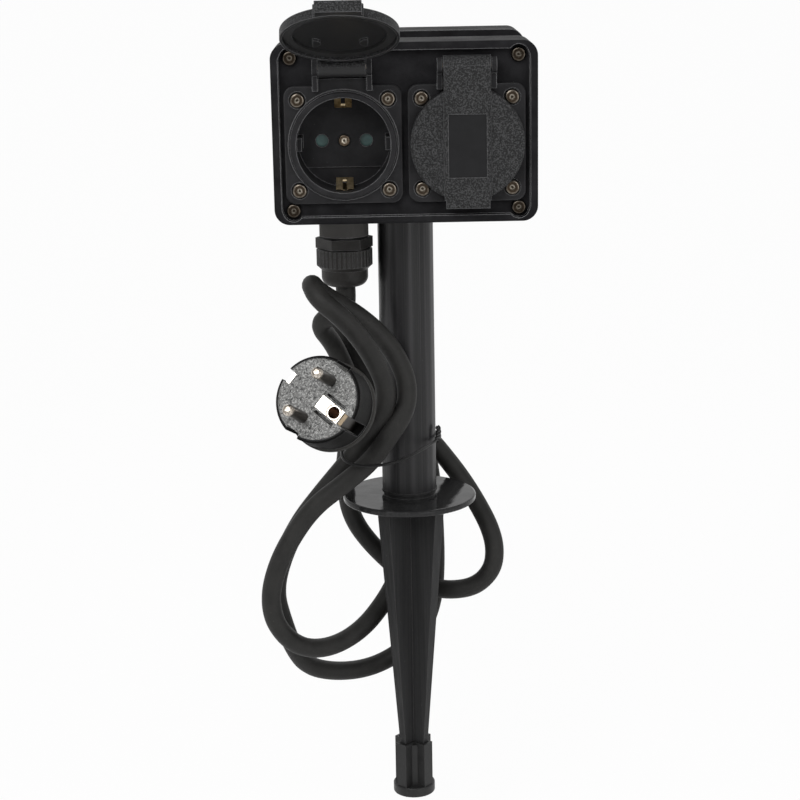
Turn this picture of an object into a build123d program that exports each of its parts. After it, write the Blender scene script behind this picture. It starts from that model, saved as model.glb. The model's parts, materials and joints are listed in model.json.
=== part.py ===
from build123d import *
import math
import os

# Garden socket: a twin-faced outlet box on a pole with a ground spike.
# Millimetres. Origin on the pole's axis at the underside of the ground disc, +Z up, front towards -Y.

# Outlet box
cover_depth = 28.0
cover_corner = 6.5
cover_edge = 1.6
cover_wall = 2.5
rim_width = 3.3
rim_proud = 3.5
panel_margin_side = 1.95
panel_margin_top = 14.25
panel_margin_bottom = 5.65
panel_thickness = 3.0
panel_y = 52.0
box_center_z = 176.5
flange_thickness = 3.0
waist_inset = 4.5
body_wall = 2.5
seal_width = 1.3
seal_depth = 0.95
slack = 0.05

# Screws of the two covers
cover_screw_inset_side = 8.15
cover_screw_inset_top = 5.9
cover_screw_radius = 1.75
cover_screw_head_radius = 3.2
cover_screw_head_height = 2.2
cover_screw_length = 14.0
pillar_wall = 1.4
counterbore_play = 1.1

# Socket inserts, four alike: two in front and two behind
plate_gap = 2.5
plate_margin = 0.65
plate_thickness = 3.0
plate_corner = 4.5
recess_radius = 19.9
recess_depth = 17.5
cup_wall = 1.5
cup_floor = 2.0
collar_wall = 2.5
collar_height = 3.0
opening_play = 0.4
guide_width = 5.6
guide_reach = 2.2
pin_spacing = 19.0
pin_radius = 2.4
pin_hole_radius = 2.7
floor_step_drop = 11.5
floor_step_depth = 0.8
plate_screw_inset = 5.75
plate_screw_radius = 1.45
plate_screw_length = 9.0
plate_screw_head_radius = 3.15
plate_screw_head_height = 2.0
head_seat_depth = 0.6
boss_wall = 1.5
gasket_thickness = 0.5
gasket_margin = 0.5

# Contact base, contacts, earth strap and shutter behind each recess
base_inset = 1.4
base_depth = 13.4
shutter_thickness = 1.6
shutter_pocket_depth = 2.0
shutter_play = 0.6
shutter_flag_radius = 3.3
shutter_hub_radius = 3.6
center_screw_radius = 1.5
center_screw_head_radius = 2.6
center_screw_head_height = 1.4
center_screw_length = 12.0
contact_wall = 0.85
terminal_size = 6.4
terminal_height = 7.6
terminal_depth = 3.5
strap_width = 7.4
strap_thickness = 0.8
strap_slot_width = 1.8
strap_slot_rim = 0.9
strap_slot_length = 4.1
strap_slot_front = 4.5
strap_slot_back = 8.8
spring_wire_radius = 0.35
spring_coil_radius = 5.2

# Hinged lids
lid_play = 0.5
lid_front = 6.0
lid_plate = 1.6
lid_skirt_wall = 1.2
lid_skirt_rim = 1.8
lid_strap_width = 19.9
lid_strap_rise = 1.0
lid_tab_length = 2.8
lid_tab_inset = 0.7
lid_tab_height = 3.4
window_width = 15.9
window_height = 26.3
window_drop = 0.65
window_depth = 0.6
lid_seal_overlap = 1.0
lid_seal_gap = 0.15
hinge_offset = 7.85
lug_radius = 3.4
lug_spread = 11.2
lug_rise = 8.0
hinge_out = 2.7
barrel_radius = 4.2
hinge_pin_radius = 1.0
ear_thickness = 2.3
ear_radius = 3.4
ear_gap = 0.25
hinge_web_height = 3.0
front_left_lid_angle = 115.5

# Pole, ground spike and its cap
pole_radius = 12.6
pole_wall = 2.0
pole_bottom = 5.7
pole_web = 6.0
pole_socket_wall = 2.7
pole_socket_height = 25.0
pole_socket_top = 2.5
pole_screw_radius = 2.4
pole_screw_head_radius = 4.2
pole_screw_head_height = 2.0
pole_screw_length = 8.0
spigot_length = 24.0
disc_radius = 31.0
disc_thickness = 2.8
neck_ring_proud = 0.3
neck_ring_height = 1.1
fin_turn = 3.5
fin_top_reach = 18.6
fin_tip_reach = 7.7
fin_top_thickness = 6.2
fin_tip_thickness = 3.0
fin_length = 121.0
tip_length = 22.0
tip_end_reach = 4.2
cap_wall = 1.2
cap_floor = 5.0
cap_rim_drop = 0.4
cap_ring_radius = 10.0
cap_ring_height = 4.8
cap_play = 0.3

# Cable gland under the box
gland_inset = 23.7
gland_boss_wall = 1.35
gland_boss_height = 17.7
gland_thread_radius = 9.8
gland_thread_length = 15.5
gland_seal_thickness = 0.8
gland_hex_flat = 22.6
gland_hex_height = 4.7
gland_hex_turn = 4.6
gland_stem_radius = 9.0
gland_stem_wall = 1.8
gland_nut_radius = 12.4
gland_nut_height = 9.9
gland_collar_radius = 10.6
gland_collar_height = 7.8
gland_rib_count = 36
gland_rib_radius = 0.35
gland_mouth_play = 0.5
gland_sleeve_length = 12.0

# Cord and plug
cord_radius = 4.5
cord_inside_length = 46.9
wire_radius = 1.0
wire_bend_radius = 3.0
wire_spread = 1.8
wire_offset = 1.1
earth_wire_offset = 2.0
wire_rise = 1.4
wire_level = 2.8
live_link_gap = 4.55
neutral_link_gap = 9.55
earth_link_gap = 13.55
plug_origin = (-38.8, -99.5, 73.5)
plug_axis = (-0.288, -0.873, 0.394)
plug_pin_line = (0.626, 0.132, 0.770)
plug_sleeve_wall = 1.4
plug_front_radius = 18.4
plug_front_length = 18.5
plug_ring_proud = 0.8
plug_ring_length = 3.5
plug_grip_length = 22.0
plug_grip_radius = 15.5
plug_grip_end_radius = 9.5
plug_tail_length = 10.0
plug_tail_radius = 6.6
plug_pin_length = 19.0
pin_tip_round = 1.6
plug_pin_root = 8.0
plug_pin_root_radius = 2.0
plug_groove_width = 6.4
plug_groove_depth = 2.6
earth_hole_offset = 9.6
earth_hole_radius = 2.5
earth_window_width = 10.0
earth_window_depth = 1.0
earth_slit_width = 1.2
earth_slit_depth = 5.0
earth_slit_inset = 1.2
earth_plate_width = 6.0
earth_plate_play = 0.15
earth_plate_sink = 0.4
earth_plate_rim = 3.6
earth_plate_reach = 8.6
earth_clip_width = 5.2
earth_clip_thickness = 0.8
earth_clip_lip = 1.7
earth_clip_lip_length = 0.9
earth_clip_sink = 0.4
earth_clip_inset = 3.0
earth_clip_play = 0.15
last_run = 11.0
tie_radius = 0.7
tie_gap = 0.9

# Sizes that follow from the ones above
cup_radius = recess_radius + cup_wall
collar_radius = recess_radius + collar_wall
lid_skirt_inner = collar_radius + lid_play
lid_radius = lid_skirt_inner + lid_skirt_wall
plate_size = 2 * (lid_radius + plate_margin)
plate_screw_spacing = plate_size - 2 * plate_screw_inset
hinge_rise = plate_size / 2 + hinge_offset
socket_x = (plate_size + plate_gap) / 2
socket_drop = (panel_margin_top - panel_margin_bottom) / 2
cover_width = 2 * (socket_x + plate_size / 2 + panel_margin_side + rim_width)
cover_height = plate_size + panel_margin_top + panel_margin_bottom + 2 * rim_width
cover_screw_x = cover_width / 2 - cover_screw_inset_side
cover_screw_z = cover_height / 2 - cover_screw_inset_top
pillar_radius = cover_screw_radius + slack + pillar_wall
counterbore_radius = cover_screw_head_radius + counterbore_play
boss_radius = plate_screw_radius + slack + boss_wall
base_radius = recess_radius - base_inset
shutter_pocket_radius = pin_spacing / 2 + shutter_flag_radius + shutter_play
lid_tab_reach = lid_radius + lid_tab_length
face_y = panel_y + plate_thickness
rim_y = panel_y + rim_proud
flange_y = rim_y - cover_depth
waist_y = flange_y - flange_thickness
waist_width = cover_width - 2 * waist_inset
waist_height = cover_height - 2 * waist_inset
waist_bottom = box_center_z - waist_height / 2
waist_floor = waist_bottom + body_wall
socket_z = box_center_z - socket_drop
plate_back = plate_thickness - gasket_thickness
cup_back = recess_depth + cup_floor
base_back = cup_back + slack + base_depth
terminal_back = base_back + terminal_depth
terminal_y = face_y - terminal_back
lid_top = lid_front + lid_strap_rise
pole_top = waist_bottom + pole_socket_height - pole_socket_top
wire_low_z = waist_bottom + pole_socket_height + wire_rise
wire_mid_z = wire_low_z + wire_level
wire_high_z = wire_mid_z + wire_level
gland_x = gland_inset - waist_width / 2
gland_boss_radius = gland_thread_radius + gland_boss_wall
gland_boss_bottom = waist_bottom - gland_boss_height
gland_hex_top = gland_boss_bottom - gland_seal_thickness
gland_hex_bottom = gland_hex_top - gland_hex_height
gland_nut_bottom = gland_hex_bottom - gland_nut_height
gland_mouth_z = gland_nut_bottom - gland_collar_height
gland_mouth_radius = cord_radius + gland_mouth_play
cord_start = gland_mouth_z + 1.0
cord_inside_top = cord_start + cord_inside_length
neck_ring_radius = pole_radius + neck_ring_proud
fin_end = fin_length + tip_length
plug_face_radius = plug_front_radius - plug_sleeve_wall
plug_ring_radius = plug_front_radius + plug_ring_proud
earth_plate_low = earth_plate_rim - plug_face_radius
earth_plate_high = earth_plate_reach - earth_hole_offset
earth_clip_reach = plug_front_radius - earth_clip_inset
tie_reach = pole_radius + tie_radius + tie_gap
os.makedirs("parts", exist_ok=True)


def save(name, shape):
    """Write one sub-part under its name."""
    export_step(shape, f"parts/{name}.step")


def group(pieces):
    """Several separate solids kept in one node."""
    return Compound(children=[solid for piece in pieces for solid in piece.solids()])


def rounded_box(width, height, y_low, y_high, corner, z_center=0.0):
    """A block with rounded corners, upright in the XZ plane and running along Y."""
    outline = Plane.XZ * Pos(0, z_center) * RectangleRounded(width, height, corner)
    return Pos(0, y_high, 0) * extrude(outline, y_high - y_low)


def y_cylinder(radius, y_low, y_high, x=0.0, z=0.0):
    """A round bar along Y."""
    outline = Plane.XZ * Pos(x, z) * Circle(radius)
    return Pos(0, y_high, 0) * extrude(outline, y_high - y_low)


def z_cylinder(radius, z_low, z_high, x=0.0, y=0.0):
    """A round bar along Z."""
    return Pos(x, y, z_low) * extrude(Circle(radius), z_high - z_low)


def x_cylinder(radius, x_low, x_high, y=0.0, z=0.0):
    """A round bar along X."""
    return Pos(x_low, 0, 0) * extrude(Plane.YZ * Pos(y, z) * Circle(radius), x_high - x_low)


def block(x_range, y_range, z_range):
    """A plain block between three pairs of limits."""
    size = (x_range[1] - x_range[0], y_range[1] - y_range[0], z_range[1] - z_range[0])
    middle = (sum(x_range) / 2, sum(y_range) / 2, sum(z_range) / 2)
    return Pos(*middle) * Box(*size)


def at_back(shape):
    """The same piece on the rear face: half a turn about the pole's axis."""
    return Rot(0, 0, 180) * shape


def at_socket(shape, column):
    """Seat a socket's piece in the front face; column is -1 at the left and 1 at the right."""
    return Pos(column * socket_x, -face_y, socket_z) * shape


def corners(half_x, half_z):
    """The four corners of a rectangle in the XZ plane."""
    return [(x, z) for x in (-half_x, half_x) for z in (-half_z, half_z)]


# Box: body, covers, seals and screws


def cover_screw_places():
    return [(x, box_center_z + z) for x, z in corners(cover_screw_x, cover_screw_z)]


def plate_screw_places():
    places = corners(plate_screw_spacing / 2, plate_screw_spacing / 2)
    return [(column * socket_x + x, socket_z + z) for column in (-1, 1) for x, z in places]


def housing_body():
    """Narrow waist between two full-size flanges, with screw pillars, pole socket and gland boss."""
    z = box_center_z
    shell = rounded_box(waist_width, waist_height, -waist_y, waist_y, cover_corner - 2, z)
    for low, high in ((-flange_y, -waist_y), (waist_y, flange_y)):
        shell += rounded_box(cover_width, cover_height, low, high, cover_corner, z)
    inner_width = waist_width - 2 * body_wall
    inner_height = waist_height - 2 * body_wall
    shell -= rounded_box(inner_width, inner_height, -flange_y - 1, flange_y + 1, cover_corner - 3, z)
    panel_back = panel_y - panel_thickness
    hole_start = panel_back - cover_screw_length
    for x, place_z in cover_screw_places():
        for low, high in ((-panel_back, -waist_y), (waist_y, panel_back)):
            shell += y_cylinder(pillar_radius, low, high, x, place_z)
        for low, high in ((-panel_back - 1, -hole_start), (hole_start, panel_back + 1)):
            shell -= y_cylinder(cover_screw_radius + slack, low, high, x, place_z)
    groove = seal_ring(seal_width + 2 * slack, seal_depth + slack)
    shell -= groove
    shell -= at_back(groove)
    socket_radius = pole_radius + slack + pole_socket_wall
    shell += z_cylinder(socket_radius, waist_bottom, waist_bottom + pole_socket_height)
    shell -= z_cylinder(pole_radius + slack, waist_bottom - 1, pole_top)
    shell -= z_cylinder(pole_screw_radius + slack, pole_top - 1, waist_bottom + pole_socket_height + 1)
    shell += z_cylinder(gland_boss_radius, gland_boss_bottom, waist_floor, gland_x)
    shell -= z_cylinder(gland_thread_radius + slack, gland_boss_bottom - 1, waist_floor + 1, gland_x)
    return shell


def seal_ring(width, depth):
    """Flat ring pressed between a cover's edge and the body's front flange."""
    reach = cover_width - cover_wall
    rise = cover_height - cover_wall
    z = box_center_z
    back = depth - flange_y
    outer = rounded_box(reach + width, rise + width, -flange_y, back, cover_corner - 1, z)
    hole = (reach - width, rise - width)
    return outer - rounded_box(*hole, -flange_y - 1, back + 1, cover_corner - 2.3, z)


def front_cover():
    """Open-backed cover: raised rim, sunk panel, two round openings and screw bosses behind."""
    z = box_center_z
    shell = rounded_box(cover_width, cover_height, -rim_y, -flange_y, cover_corner, z)
    front_edges = shell.faces().sort_by(Axis.Y)[0].edges()
    shell = fillet(front_edges, cover_edge)
    inner_corner = cover_corner - cover_wall
    inner = (cover_width - 2 * cover_wall, cover_height - 2 * cover_wall)
    shell -= rounded_box(*inner, -panel_y + panel_thickness, -flange_y + 1, inner_corner, z)
    sunk = (cover_width - 2 * rim_width, cover_height - 2 * rim_width)
    shell -= rounded_box(*sunk, -rim_y - 1, -panel_y, cover_corner - rim_width + 0.5, z)
    for x, place_z in cover_screw_places():
        shell -= y_cylinder(counterbore_radius, -rim_y - 1, -panel_y, x, place_z)
        shell -= y_cylinder(cover_screw_radius + slack, -rim_y, -flange_y, x, place_z)
    boss_back = -panel_y + plate_screw_length - plate_thickness + head_seat_depth + 0.5
    for x, place_z in plate_screw_places():
        shell += y_cylinder(boss_radius, -panel_y + panel_thickness, boss_back, x, place_z)
        shell -= y_cylinder(plate_screw_radius + slack, -rim_y, boss_back - 0.5, x, place_z)
    for column in (-1, 1):
        opening = cup_radius + opening_play
        shell -= y_cylinder(opening, -rim_y, -flange_y, column * socket_x, socket_z)
    return shell


def screw(shank_radius, length, head_radius, head_height):
    """Round-headed screw with a hexagon socket; head towards -Y, seat at Y = 0."""
    head = y_cylinder(head_radius, -head_height, 0)
    head = fillet(head.faces().sort_by(Axis.Y)[0].edges(), 0.5 * head_height)
    drive = Plane.XZ * RegularPolygon(0.42 * head_radius, 6)
    head -= Pos(0, -0.45 * head_height, 0) * extrude(drive, head_height)
    return head + y_cylinder(shank_radius, 0, length)


def front_cover_screws():
    piece = screw(cover_screw_radius, cover_screw_length, cover_screw_head_radius, cover_screw_head_height)
    return group([Pos(x, -panel_y, z) * piece for x, z in cover_screw_places()])


def front_socket_screws():
    piece = screw(plate_screw_radius, plate_screw_length, plate_screw_head_radius, plate_screw_head_height)
    seat_y = -face_y + head_seat_depth
    return group([Pos(x, seat_y, z) * piece for x, z in plate_screw_places()])


# Socket pieces, each in its socket's own frame: face at Y = 0, outwards along -Y


def ear(side):
    """One hinge ear; side is -1 or 1."""
    inner = lid_strap_width / 2 + ear_gap
    x_low, x_high = sorted((side * inner, side * (inner + ear_thickness)))
    foot_z = (plate_size / 2 - 2, hinge_rise + ear_radius - 0.8)
    foot = block((x_low, x_high), (-hinge_out, plate_back), foot_z)
    return foot + x_cylinder(ear_radius, x_low, x_high, -hinge_out, hinge_rise)


def socket_insert():
    """Mounting plate with its collar, cup, side guides, hinge ears and contact openings."""
    plate = rounded_box(plate_size, plate_size, 0, plate_back, plate_corner)
    plate = fillet(plate.faces().sort_by(Axis.Y)[0].edges(), 0.5)
    collar = y_cylinder(collar_radius, -collar_height, plate_back)
    collar = fillet(collar.faces().sort_by(Axis.Y)[0].edges(), 0.8)
    piece = plate + collar + y_cylinder(collar_radius + 0.9, -0.9, 1)
    piece += y_cylinder(cup_radius, 0, cup_back)
    piece -= y_cylinder(recess_radius, -collar_height - 1, recess_depth)
    ear_reach = lid_strap_width / 2 + ear_gap + ear_thickness
    web_top = plate_size / 2 + hinge_web_height
    piece += block((-ear_reach, ear_reach), (0, plate_back), (plate_size / 2 - 2, web_top))
    for side in (-1, 1):
        piece += ear(side)
        guide_inner = recess_radius - guide_reach
        guide_x = sorted((side * guide_inner, side * (recess_radius + cup_wall / 2)))
        piece += block(guide_x, (3, recess_depth), (-guide_width / 2, guide_width / 2))
        slot_z = sorted((side * (recess_radius - 1.5), side * (cup_radius + 1)))
        slot_half = strap_width / 2 + 0.3
        piece -= block((-slot_half, slot_half), (4.2, cup_back + 1), slot_z)
        piece -= y_cylinder(pin_hole_radius, recess_depth - 1, cup_back + 1, side * pin_spacing / 2)
    piece -= x_cylinder(hinge_pin_radius, -ear_reach - 1, ear_reach + 1, -hinge_out, hinge_rise)
    step_half = math.sqrt(recess_radius ** 2 - floor_step_drop ** 2)
    step = y_cylinder(recess_radius, recess_depth - 1, recess_depth + floor_step_depth)
    piece -= step & block((-step_half, step_half), (0, cup_back), (-recess_radius, -floor_step_drop))
    piece -= y_cylinder(center_screw_radius + 0.2, recess_depth - 1, cup_back + 1)
    for x, z in corners(plate_screw_spacing / 2, plate_screw_spacing / 2):
        piece -= y_cylinder(plate_screw_head_radius + 0.4, -1, head_seat_depth, x, z)
        piece -= y_cylinder(plate_screw_radius + 0.2, 0, plate_thickness + 1, x, z)
    return piece


def hinge_pin():
    reach = lid_strap_width / 2 + ear_gap + ear_thickness
    return x_cylinder(hinge_pin_radius, -reach, reach, -hinge_out, hinge_rise)


def closed_lid():
    """Round lid in its closed place: skirt, plate, raised strap with window recess, hinge barrel, tab."""
    half = lid_strap_width / 2
    lid = y_cylinder(lid_radius, -lid_front, -lid_skirt_rim)
    lid = fillet(lid.faces().sort_by(Axis.Y)[0].edges(), 0.8)
    strap = block((-half, half), (-lid_top, -lid_front + lid_plate), (-lid_tab_reach, hinge_rise))
    strap += block((-half, half), (-lid_front, -lid_skirt_rim - 0.3), (-lid_tab_reach, -lid_radius + 4))
    long_edges = strap.edges().filter_by(Axis.Z).group_by(Axis.Y)[0]
    strap = fillet(long_edges, 0.5)
    strap += x_cylinder(barrel_radius, -half, half, -hinge_out, hinge_rise)
    lid += strap
    lid -= y_cylinder(lid_skirt_inner, -lid_front + lid_plate, 0)
    swept = x_cylinder(barrel_radius, -half, half, -hinge_out, hinge_rise)
    lid += swept
    lid -= x_cylinder(hinge_pin_radius + slack, -half - 1, half + 1, -hinge_out, hinge_rise)
    window_z = (-window_drop - window_height / 2, -window_drop + window_height / 2)
    lid -= block((-window_width / 2, window_width / 2), (-lid_top - 1, -lid_top + window_depth), window_z)
    tab_z = (-lid_tab_reach - 1, lid_tab_height - lid_tab_reach)
    for side in (-1, 1):
        tab_x = sorted((side * (half - lid_tab_inset), side * (half + 1)))
        lid -= block(tab_x, (-lid_top - 1, 0), tab_z)
    plate_inside = lid_plate - lid_front
    for side in (-1, 1):
        lug = y_cylinder(lug_radius, plate_inside - 1, plate_inside + 1.2, side * lug_spread, lug_rise)
        keep = sorted((side * (lug_spread - lug_radius), side * lug_spread))
        lid += lug & block(keep, (-lid_front, 0), (lug_rise - 4, lug_rise + 4))
    return lid


def closed_lid_seal():
    """Flat rubber ring under the lid's plate that closes on the collar."""
    back = -lid_front + lid_plate
    front = -collar_height - lid_seal_gap
    ring = y_cylinder(lid_skirt_inner - 0.3, back, front)
    return ring - y_cylinder(recess_radius - lid_seal_overlap, back - 1, front + 1)


def opened(shape, angle):
    """Turn a lid piece up about its hinge."""
    return Pos(0, -hinge_out, hinge_rise) * Rot(-angle, 0, 0) * Pos(0, hinge_out, -hinge_rise) * shape


def contact_base():
    """Round block behind the cup with the shutter's pocket and a bore for each contact."""
    front = cup_back + slack
    piece = y_cylinder(base_radius, front, base_back)
    piece -= y_cylinder(shutter_pocket_radius, front - 1, front + shutter_pocket_depth)
    groove_back = front + shutter_pocket_depth + 2 * spring_wire_radius + 0.1
    groove = y_cylinder(spring_coil_radius + 0.5, front, groove_back)
    piece -= groove - y_cylinder(spring_coil_radius - 0.5, front, groove_back)
    bore = pin_radius + contact_wall + slack
    for side in (-1, 1):
        piece -= y_cylinder(bore, front, base_back + 1, side * pin_spacing / 2)
    hole_back = recess_depth + center_screw_length + 0.3
    piece -= y_cylinder(center_screw_radius + slack, front, hole_back)
    return piece


def shutter():
    """Bow-tie plate that covers both pin holes and turns about the centre screw."""
    front = cup_back + slack + 0.15
    back = front + shutter_thickness
    arm = 0.6 * shutter_flag_radius
    piece = block((-pin_spacing / 2, pin_spacing / 2), (front, back), (-arm, arm))
    piece += y_cylinder(shutter_hub_radius, front, back)
    for side in (-1, 1):
        piece += y_cylinder(shutter_flag_radius, front, back, side * pin_spacing / 2)
    return piece - y_cylinder(center_screw_radius + slack, front - 1, back + 1)


def shutter_spring():
    """Open wire ring in the base's groove that turns the shutter back."""
    y = cup_back + slack + shutter_pocket_depth + spring_wire_radius + 0.05
    path = Pos(0, y, 0) * (Plane.XZ * CenterArc((0, 0), spring_coil_radius, 20, 300))
    section = Plane(path @ 0, z_dir=path % 0) * Circle(spring_wire_radius)
    return sweep(section, path)


def contacts():
    """Two split sleeves, each with its screw terminal block behind the base."""
    front = cup_back + slack + shutter_pocket_depth + 0.3
    pieces = []
    for side in (-1, 1):
        x = side * pin_spacing / 2
        sleeve = y_cylinder(pin_radius + contact_wall, front, base_back, x)
        sleeve -= y_cylinder(pin_radius + slack, front - 1, base_back - 1, x)
        sleeve -= block((x - 0.4, x + 0.4), (front - 1, base_back - 2), (0, 5))
        half = terminal_size / 2
        rise = terminal_height / 2
        sleeve += block((x - half, x + half), (base_back, terminal_back), (-rise, rise))
        pieces.append(sleeve)
    return group(pieces)


def earth_strap():
    """Bent strip: a spring tongue at the top and bottom of the recess, joined behind the base."""
    leg = cup_radius - cup_wall / 2 + 0.05
    back = base_back + strap_thickness / 2 + slack
    upper = [(13, leg - 4.9), (9.5, leg - 5.5), (5.6, leg - 1.4), (6.6, leg), (back, leg)]
    lower = [(depth, -rise) for depth, rise in reversed(upper)]
    line = Polyline(*(upper + lower))
    strip = extrude(Plane.YZ * trace(line, strap_thickness), strap_width / 2, both=True)
    slot_half = strap_slot_width / 2
    slot_y = (strap_slot_front, strap_slot_back)
    slot_high = leg - strap_slot_rim
    slot_low = slot_high - strap_slot_length
    for slot_z in ((slot_low, slot_high), (-slot_high, -slot_low)):
        strip -= block((-slot_half, slot_half), slot_y, slot_z)
    half = terminal_size / 2
    rise = terminal_height / 2
    return strip + block((-half, half), (back, terminal_back), (-rise, rise))


def center_screw():
    head = (center_screw_head_radius, center_screw_head_height)
    return Pos(0, recess_depth, 0) * screw(center_screw_radius, center_screw_length, *head)


def flange_gasket():
    """Thin sheet between an insert's plate and the cover's panel, with holes for the cup and the screws."""
    side = plate_size - 2 * gasket_margin
    sheet = rounded_box(side, side, plate_back, plate_thickness, plate_corner - gasket_margin)
    sheet -= y_cylinder(cup_radius + slack, plate_back - 1, plate_thickness + 1)
    for x, z in corners(plate_screw_spacing / 2, plate_screw_spacing / 2):
        sheet -= y_cylinder(plate_screw_radius + slack, plate_back - 1, plate_thickness + 1, x, z)
    return sheet


# Pole, ground spike and cap


def pole():
    """Round tube with a closed web at its top for the lock screw."""
    tube = z_cylinder(pole_radius, pole_bottom, pole_top)
    tube -= z_cylinder(pole_radius - pole_wall, pole_bottom - 1, pole_top - pole_web)
    return tube - z_cylinder(pole_screw_radius, pole_top - pole_web - 1, pole_top + 1)


def pole_screw():
    """Screw down through the top of the pole's socket into the pole's web."""
    seat = waist_bottom + pole_socket_height
    piece = screw(pole_screw_radius, pole_screw_length, pole_screw_head_radius, pole_screw_head_height)
    return Pos(0, 0, seat) * Rot(-90, 0, 0) * piece


def cross_taper(z_top, z_low, top, low):
    """Cross-shaped length that narrows from the top section to the low one."""
    piece = None
    for turn in (45 + fin_turn, 135 + fin_turn):
        upper = Pos(0, 0, z_top) * Rot(0, 0, turn) * Rectangle(2 * top[0], top[1])
        lower = Pos(0, 0, z_low) * Rot(0, 0, turn) * Rectangle(2 * low[0], low[1])
        bar = loft([upper, lower], ruled=True)
        piece = bar if piece is None else piece + bar
    return piece


def spike():
    """Moulded spike: spigot, neck rings, ground disc, four tapering fins and a blunt tip."""
    spigot_radius = pole_radius - pole_wall - slack
    piece = z_cylinder(spigot_radius, disc_thickness, pole_bottom + spigot_length)
    piece -= z_cylinder(spigot_radius - 2.5, pole_bottom + 2, pole_bottom + spigot_length + 1)
    piece += z_cylinder(neck_ring_radius - 0.8, disc_thickness, pole_bottom)
    piece += z_cylinder(neck_ring_radius, pole_bottom - neck_ring_height, pole_bottom)
    disc = z_cylinder(disc_radius, 0, disc_thickness)
    disc = fillet(disc.edges().filter_by(GeomType.CIRCLE), 0.9)
    piece += disc
    tip = (fin_tip_reach, fin_tip_thickness)
    piece += cross_taper(0.5, -fin_length, (fin_top_reach, fin_top_thickness), tip)
    piece += cross_taper(-fin_length, -fin_end, tip, (tip_end_reach, fin_tip_thickness))
    return piece


def spike_cap():
    """Pull-off guard for the tip: cross-shaped sleeve on a round base."""
    wall = cap_wall + cap_play
    outer = (fin_tip_reach + wall, fin_tip_thickness + 2 * wall)
    cap_top = fin_length + cap_rim_drop
    cap_bottom = fin_end + cap_floor
    sleeve = cross_taper(-cap_top, -cap_bottom, outer, outer)
    sleeve += z_cylinder(0.62 * outer[0], -cap_bottom, -cap_top - 1.2)
    ring = z_cylinder(cap_ring_radius, -cap_bottom, -cap_bottom + cap_ring_height)
    ring = fillet(ring.edges().filter_by(GeomType.CIRCLE), 0.7)
    piece = sleeve + ring
    inner_top = (fin_tip_reach + cap_play + 0.1, fin_tip_thickness + 2 * cap_play + 0.1)
    inner_low = (tip_end_reach + cap_play, fin_tip_thickness + 2 * cap_play)
    piece -= cross_taper(-cap_top + 0.5, -fin_length, inner_top, inner_top)
    return piece - cross_taper(-fin_length, -fin_end - cap_play, inner_top, inner_low)


# Cable gland


def gland_body():
    """Threaded stem up into the boss, hexagon, and lower stem for the nut."""
    top = gland_hex_top + gland_thread_length
    piece = z_cylinder(gland_thread_radius, gland_hex_top, top, gland_x)
    hexagon = RegularPolygon(gland_hex_flat / 2, 6, major_radius=False, rotation=gland_hex_turn)
    piece += Pos(gland_x, 0, gland_hex_bottom) * extrude(hexagon, gland_hex_height)
    stem_bottom = gland_nut_bottom + 1.5
    piece += z_cylinder(gland_stem_radius, stem_bottom, gland_hex_bottom, gland_x)
    piece -= z_cylinder(gland_mouth_radius, gland_hex_bottom, top + 1, gland_x)
    inner = gland_stem_radius - gland_stem_wall
    return piece - z_cylinder(inner, stem_bottom - 1, gland_hex_bottom, gland_x)


def gland_seal():
    outer = z_cylinder(gland_boss_radius - 0.15, gland_hex_top, gland_boss_bottom, gland_x)
    return outer - z_cylinder(gland_thread_radius + slack, gland_hex_top - 1, gland_boss_bottom + 1, gland_x)


def gland_nut():
    """Ribbed cap nut with a rounded collar at its mouth."""
    top = gland_hex_bottom - 0.2
    nut = z_cylinder(gland_nut_radius, gland_nut_bottom, top, gland_x)
    nut = chamfer(nut.edges().filter_by(GeomType.CIRCLE).group_by(Axis.Z)[0], 1.7)
    nut = chamfer(nut.edges().filter_by(GeomType.CIRCLE).group_by(Axis.Z)[-1], 0.4)
    collar = z_cylinder(gland_collar_radius, gland_mouth_z, gland_nut_bottom + 2, gland_x)
    collar = fillet(collar.edges().filter_by(GeomType.CIRCLE).group_by(Axis.Z)[0], 4.4)
    piece = nut + collar
    for number in range(gland_rib_count):
        angle = 2 * math.pi * number / gland_rib_count
        x = gland_x + gland_nut_radius * math.cos(angle)
        y = gland_nut_radius * math.sin(angle)
        piece += z_cylinder(gland_rib_radius, gland_nut_bottom + 1.8, top - 0.5, x, y)
    inner = gland_stem_radius + slack
    piece -= z_cylinder(inner, gland_nut_bottom, top + 1, gland_x)
    throat = gland_stem_radius - gland_stem_wall
    piece -= z_cylinder(throat, gland_mouth_z + 3.5, gland_nut_bottom + 1, gland_x)
    return piece - z_cylinder(gland_mouth_radius, gland_mouth_z - 1, gland_mouth_z + 5, gland_x)


def gland_sleeve():
    """Rubber sleeve squeezed round the cord inside the nut."""
    low = gland_mouth_z + 3.6
    outer = gland_stem_radius - gland_stem_wall - slack
    sleeve = z_cylinder(outer, low, low + gland_sleeve_length, gland_x)
    return sleeve - z_cylinder(cord_radius + slack, low - 1, low + gland_sleeve_length + 1, gland_x)


# Cord, conductors and plug


def rounded_path(points, share=0.45):
    """Straight runs joined by tangent arcs, each as large as its two runs allow; the radii too."""
    vectors = [Vector(*point) for point in points]
    radii = []
    for before, corner, after in zip(vectors, vectors[1:], vectors[2:]):
        turn = math.radians((corner - before).get_angle(after - corner))
        shorter = min((corner - before).length, (after - corner).length)
        radii.append(share * shorter / math.tan(turn / 2))
    return FilletPolyline(*points, radius=radii), radii


def tube(path, radius):
    """A round bar along a path."""
    return sweep(Plane(path @ 0, z_dir=path % 0) * Circle(radius), path)


def bent_wire(points):
    """One insulated conductor with small bends."""
    path = FilletPolyline(*points, radius=wire_bend_radius)
    return tube(path, wire_radius)


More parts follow.
